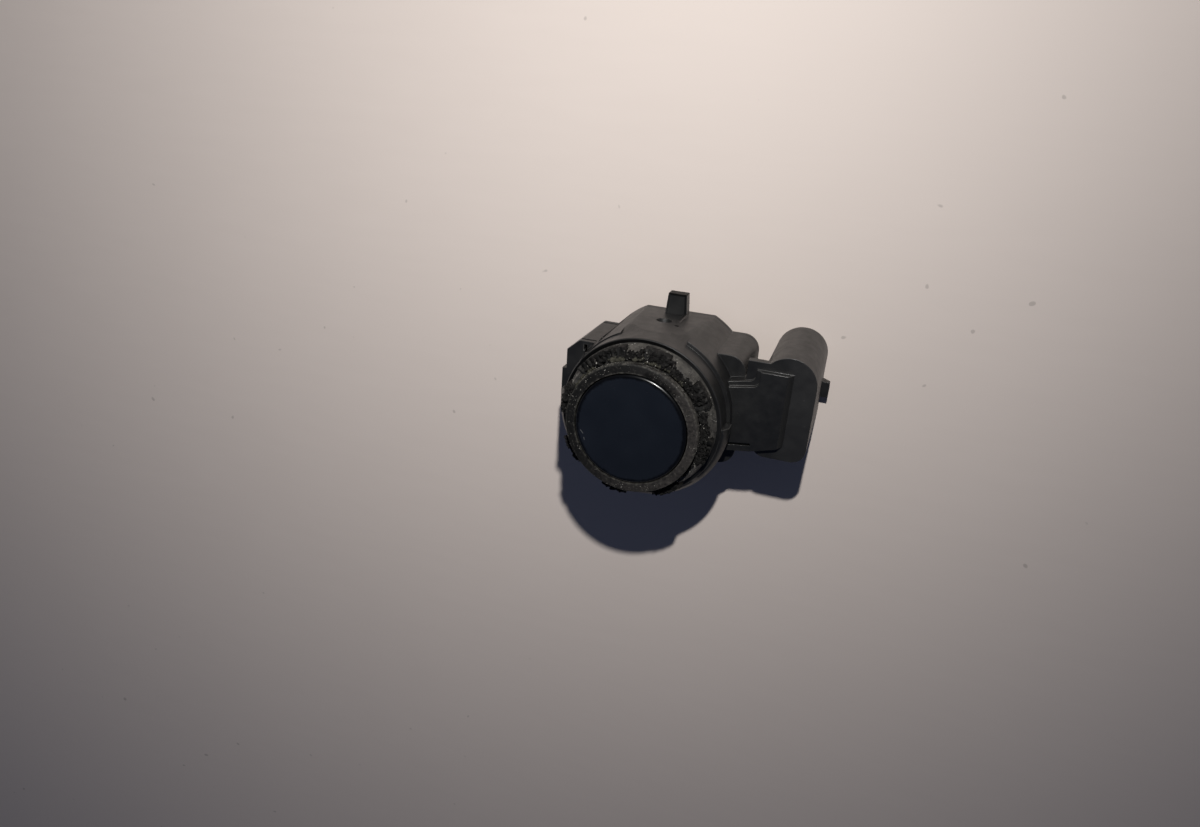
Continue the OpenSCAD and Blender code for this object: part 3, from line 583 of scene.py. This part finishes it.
# How far out from the axis a lobe reaches: anywhere, the channel, the teeth or the collar's slope
far = 20
inner = 9.45
middle = 9.6
outer = 10.6
all_round = [(0, 720, 1, far)]
torn_places = [(78, 14, 1, outer), (97, 10, 1, middle), (56, 13, 0.9, middle), (33, 14, 1, middle),
               (33, 13, 0.14, outer), (10, 15, 1, middle), (-12, 14, 1, middle), (-12, 13, 0.14, outer),
               (-35, 14, 0.8, inner), (-57, 14, 1, outer), (-80, 12, 0.5, inner),
               (-102, 12, 0.8, outer), (-147, 12, 0.8, outer), (112, 10, 0.08, outer),
               (130, 12, 0.08, outer), (168, 14, 0.6, outer), (190, 14, 0.5, inner)]
mud_places = [(90, 30, 1, far), (62, 16, 0.6, far), (150, 20, 0.6, far)]
collar_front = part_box("collar")[1].z / MM
tooth_front = collar_front + 0.15
shred = shred_tree()
foam = plain_finish("torn_black_foam", (0.0003, 0.0003, 0.0003), (0.0150, 0.0142, 0.0134), 2.0, 0.85,
                    depth_mm=0.08, specular=0.15)
teeth_section = [(radius, tooth_front) for radius in (9.05, 9.3, inner, 9.5, 10.1)]
teeth_section.append((outer, tooth_front - 0.1))
foam_sizes = {"Density": 5.0e7, "Lump": 0.24 * MM, "Rise": 0.38 * MM, "Cell": 0.07 * MM, "Tear": 0.62 * MM,
              "Seed": 4}
grown_piece("torn_gasket", spun_sheet("teeth_front", teeth_section, torn_places), shred, foam_sizes,
            foam)
grey_mud = plain_finish("grey_mud", (0.012, 0.0115, 0.008), (0.058, 0.055, 0.042), 3.0, 0.9,
                        depth_mm=0.06, specular=0.2)
channel_section = [(9.0, collar_front + 0.45), (9.2, collar_front + 0.3), (inner, collar_front + 0.05)]
mud_sizes = {"Density": 6.0e7, "Lump": 0.18 * MM, "Rise": 0.25 * MM, "Cell": 0.07 * MM, "Tear": 0.4 * MM,
             "Seed": 9}
grown_piece("packed_mud", spun_sheet("channel_floor", channel_section, mud_places), shred, mud_sizes,
            grey_mud)

grit = grit_tree()
pale_grit = plain_finish("pale_grit", (0.12, 0.115, 0.10), (0.45, 0.43, 0.39), 1.5, 0.7)
lip_level = 26.36
lip_section = [(7.95, lip_level), (lip_r - 0.25, lip_level), (9.02, 26.28), (9.09, lip_bend), (lip_r, 25.4)]
grown_piece("lip_grit", spun_sheet("lip_skin", lip_section, all_round), grit,
            {"Density": 2.6e7, "Grain": 0.085 * MM, "Seed": 11}, pale_grit)
slope_foot = 22.2
collar_section = [(9.0, collar_front), (10.0, collar_front), (10.65, slope_foot)]
grown_piece("collar_grit", spun_sheet("collar_skin", collar_section, all_round), grit,
            {"Density": 1.6e7, "Grain": 0.11 * MM, "Seed": 23}, pale_grit)
gasket_section = [(8.8, tooth_front + 0.4), (9.5, tooth_front + 0.4), (10.3, tooth_front + 0.3)]
grown_piece("gasket_grit", spun_sheet("gasket_skin", gasket_section, torn_places), grit,
            {"Density": 1.0e7, "Grain": 0.16 * MM, "Seed": 31}, pale_grit)

# Housing
# One glass-filled black moulding: barrel, ears, locking finger with a shallow recess, sloped arm and
# connector shell. Its skin is finely spark-eroded, with faint smears of dust. Painted shade darkens its
# seams, and its corners on the ears and on the upper edges of the arm carry a pale painted highlight.

barrel_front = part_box("housing")[1].z / MM
finger_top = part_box("housing")[1].y / MM
seam_r = 11.06
ear_top = 8.0
groove_x = -9.4
groove_z = 16.6
hole_place = (1.85, 10.9, 13.2)
hole_r = 0.34
plate_z = 16.0
plate_left = 17.0
plate_right = 19.0


def painted_shade_marks(tree, place):
    """1 where painted shade darkens: the collar's seam, the ear's groove, a small hole and the finger's tip.
    """
    axes = along_axes(tree, place)
    at_front = product(tree, between(tree, axes["Z"], barrel_front - 0.15, barrel_front - 0.05),
                       between(tree, axes["X"], 3.0, 7.0, 1.0, 0.35))
    seam = product(tree, between(tree, axis_distance(tree, place), seam_r + 0.08, seam_r), at_front)
    groove = product(tree, between(tree, away_from(tree, axes["Z"], groove_z), 0.26, 0.22),
                     product(tree, between(tree, axes["Y"], ear_top - 0.03, ear_top - 0.07),
                             between(tree, away_from(tree, axes["X"], groove_x), 1.5, 1.4)))
    from_hole = tree.nodes.new("ShaderNodeVectorMath")
    from_hole.operation = "DISTANCE"
    from_hole.inputs[1].default_value = hole_place
    tree.links.new(place, from_hole.inputs[0])
    hole = between(tree, from_hole.outputs["Value"], hole_r + 0.08, hole_r)
    finger_tip = between(tree, axes["Y"], finger_top - 0.12, finger_top - 0.08)
    return calculate(tree, "MAXIMUM", calculate(tree, "MAXIMUM", seam, finger_tip),
                     calculate(tree, "MAXIMUM", groove, hole))


def moulding_finish(name, dark, light, gloss):
    """Black moulded plastic: eroded skin, faint smears, a dusty front plate, painted shade in seams and
    hollows, specks.
    """
    smear_haze = (0.022, 0.021, 0.019)
    plate_dust = (0.016, 0.0155, 0.015)
    speck_dust = (0.12, 0.115, 0.105)
    shade_black = (0.0012, 0.0012, 0.0012)
    material, tree, shader, place = new_finish(name, 0.5)
    skin = noise(tree, place, 7.0, 4.0, 0.6)
    smear = noise(tree, place, 0.16, 4.0, 0.6, (1.0, 1.0, 0.4))
    cloud = noise(tree, place, 0.7, 4.0, 0.6)
    speck = between(tree, noise(tree, place, 3.4, 2.0), 0.74, 0.77)
    axes = along_axes(tree, place)
    on_plate = product(tree, between(tree, away_from(tree, axes["Z"], plate_z), 0.08, 0.04),
                       between(tree, axes["X"], plate_left, plate_right))
    plastic = blend_colour(tree, cloud, dark, light)
    hazed = blend_colour(tree, between(tree, smear, 0.50, 0.80, 0.0, 0.25), plastic, smear_haze)
    dusty = product(tree, on_plate, between(tree, skin, 0.3, 0.7, 0.35, 0.75))
    dusted = blend_colour(tree, dusty, hazed, plate_dust)
    specked = blend_colour(tree, product(tree, speck, 0.3), dusted, speck_dust)
    # Painted shade: seams, the ear's groove, the small hole and the finger's tip go near black and lose
    # their sheen.
    shade_mask = painted_shade_marks(tree, place)
    wiped = between(tree, calculate(tree, "ADD", smear, cloud), 0.7, 1.3, gloss - 0.07, gloss + 0.07)
    shade_coloured = blend_colour(tree, shade_mask, specked, shade_black)
    coat(tree, shader, shade_coloured, wiped, raise_surface(tree, skin, 0.010))
    tree.links.new(between(tree, shade_mask, 0.0, 1.0, 0.5, 0.1), shader.inputs["Specular IOR Level"])
    return material


black = moulding_finish("matte_black_moulding", (0.0036, 0.0036, 0.0037), (0.0062, 0.0061, 0.0059), 0.45)
# Painted highlight: a lighter, glossier copy of the moulding for the rounded corners.
edge_highlight = moulding_finish("painted_edge_highlight", (0.026, 0.0255, 0.025), (0.048, 0.046, 0.044), 0.34)
near = 0.05
arm_end = 19.0
arm_front = 17.0
arm_slope = 0.7
low_corner_drop = 0.21
shoulder_z = 18.6
shoulder_r = 11.75
eased_r = 11.45
blend_end = -4.6
form = merged_form("housing")
for corner in form.verts:
    here = corner.co / MM
    if abs(here.x - arm_end) < near and abs(here.z - arm_front) < near:
        corner.co.x -= arm_slope * MM
        if here.y < 0:
            corner.co.y -= low_corner_drop * MM
    on_shoulder = abs(here.z - shoulder_z) < near and abs(here.xy.length - shoulder_r) < near
    if on_shoulder and here.x < blend_end and here.y > 0:
        corner.co.x *= eased_r / shoulder_r
        corner.co.y *= eased_r / shoulder_r

finger_from = 11.5
recess_rim = 0.45
recess_depth = 0.25
recess_foot = 10.4
finger_face = [face for face in form.faces
               if face.normal.z > 0.99 and face.calc_center_median().y > finger_from * MM]
bmesh.ops.inset_region(form, faces=finger_face, thickness=recess_rim * MM, depth=-recess_depth * MM)
for corner in finger_face[0].verts:
    if corner.co.y < (finger_from + 0.1) * MM:
        corner.co.y = recess_foot * MM

moulded_edge = 0.07
ear_from = -9.0
arm_from = 11.5
housing = moulded_piece(form, "moulded_housing", moulded_edge, [black, edge_highlight])
# Only corners on the ears and the upward edges of the arm keep the painted highlight; the arm's sloped end
# does not.
for face in housing.data.polygons:
    here = face.center / MM
    on_ears = here.x < ear_from
    on_arm = here.x > arm_from and here.y > 0 and face.normal.y > 0.2
    on_slope = here.z > arm_front - 0.3 and abs(here.x - (arm_end - arm_slope)) < 0.4
    if on_slope or not (on_ears or on_arm):
        face.material_index = 0
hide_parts("housing")
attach(housing, "root")

# Terminals
# Three bent bronze wires with a bright coat of tin, which run from the board through the arm.
# The arm is moulded round them, and their bare tips stand in the socket.

tinned = bright_metal("tinned_terminal", (0.45, 0.43, 0.39), (0.64, 0.62, 0.58), 5.0, 0.3, depth_mm=0.004)
for node_name in ("supply_terminal", "signal_terminal", "ground_terminal"):
    finish_solid(node_name, tinned)

# Rear cover
# A black moulded cover of the same plastic as the housing, with the round pad that the part stands on.
# It is welded into the open rear of the barrel.

cover = moulded_piece(merged_form("rear_cover"), "welded_rear_cover", moulded_edge, [black, edge_highlight])
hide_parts("rear_cover")
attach(cover, "root")

# Table top, lamp and camera
# A pale smooth table fills the picture. One small lamp near the camera throws a firm shadow, and a dim sky
# fills it. The table past the lamp's reach is shown pale by a glow that only the camera, glossy and clear
# surfaces see.

table_reach = 0.5
table_drop = 0.02
table_dark = (0.555, 0.487, 0.444)
table_light = (0.585, 0.515, 0.470)
table_speck = (0.2, 0.18, 0.16)
table_corners = [(-1, -1), (1, -1), (1, 1), (-1, 1)]
table = bpy.data.meshes.new("table_top")
table.from_pydata([(x * table_reach, y * table_reach, 0) for x, y in table_corners], [], [(0, 1, 2, 3)])
table_top = bpy.data.objects.new("table_top", table)
table_top.location.z = -table_drop * MM
bpy.context.scene.collection.objects.link(table_top)
pale, tree, shader, place = new_finish("pale_table", 0.2)
broad = noise(tree, place, 0.03, 3.0)
streak = noise(tree, place, 0.5, 3.0, 0.5, (0.15, 1.0, 1.0))
speck = between(tree, noise(tree, place, 0.35, 1.0), 0.78, 0.80)
tone = calculate(tree, "ADD", product(tree, broad, 0.5), product(tree, streak, 0.5))
board = blend_colour(tree, tone, table_dark, table_light)
coat(tree, shader, blend_colour(tree, product(tree, speck, 0.4), board, table_speck),
     between(tree, streak, 0.3, 0.7, 0.62, 0.7))
axes = along_axes(tree, place)
ray = tree.nodes.new("ShaderNodeLightPath").outputs
seen = calculate(tree, "MAXIMUM", ray["Is Camera Ray"],
                 calculate(tree, "MAXIMUM", ray["Is Glossy Ray"], ray["Is Transmission Ray"]))
past_lamp = calculate(tree, "ADD", axes["X"], product(tree, axes["Y"], 0.17))
unlit = calculate(tree, "MAXIMUM", between(tree, past_lamp, 85.0, 165.0),
                  between(tree, axis_distance(tree, place), 300.0, 460.0))
glow = product(tree, seen, product(tree, unlit, 0.42))
tree.links.new(glow, shader.inputs["Emission Strength"])
shader.inputs["Emission Color"].default_value = (1.0, 0.96, 0.93, 1.0)
table.materials.append(pale)

lamp_place = Vector((25.0, 82.0, 113.0)) * MM
lamp_aim = Vector((-108.7, -18.8, -113.0))
lamp_distance = 0.141
lamp_data = bpy.data.lights.new("near_lamp", "AREA")
lamp_data.shape = "DISK"
lamp_data.size = 4.0 * MM
lamp_data.energy = 0.29
lamp_data.spread = math.radians(178.8)
lamp_data.color = (1.0, 0.99, 0.97)
lamp_data.use_nodes = True
lamp_tree = lamp_data.node_tree
falloff = lamp_tree.nodes.new("ShaderNodeLightFalloff")
falloff.inputs["Strength"].default_value = 1 / lamp_distance
lamp_tree.links.new(falloff.outputs["Linear"], lamp_tree.nodes["Emission"].inputs["Strength"])
lamp = bpy.data.objects.new("near_lamp", lamp_data)
lamp.location = lamp_place
lamp.rotation_mode = "QUATERNION"
lamp.rotation_quaternion = lamp_aim.to_track_quat("-Z", "Y")
lamp.visible_camera = False
bpy.context.scene.collection.objects.link(lamp)

horizon = (0.50, 0.49, 0.48)
zenith = (0.029, 0.039, 0.072)
world = bpy.data.worlds.new("dim_sky")
world.use_nodes = True
bpy.context.scene.world = world
sky = world.node_tree
direction = sky.nodes.new("ShaderNodeTexCoord")
height = along_axes(sky, direction.outputs["Generated"])["Z"]
sky_tone = blend_colour(sky, between(sky, height, 0.02, 0.22), horizon, zenith)
sky.links.new(sky_tone, sky.nodes["Background"].inputs["Color"])

camera_place = Vector((25.8, 43.2, 118.6)) * MM
camera_data = bpy.data.cameras.new("camera")
camera_data.sensor_width = 36.0
camera_data.lens = 24.0
camera_data.clip_start = 0.005
camera = bpy.data.objects.new("camera", camera_data)
right = Vector((0.940, 0.064, -0.335))
up = Vector((-0.188, 0.916, -0.353))
back = right.cross(up).normalized()
up = back.cross(right).normalized()
turn = Matrix((right.normalized(), up, back)).transposed().to_4x4()
camera.matrix_world = Matrix.Translation(camera_place) @ turn
bpy.context.scene.collection.objects.link(camera)
bpy.context.scene.camera = camera
bpy.context.scene.view_settings.view_transform = "Standard"
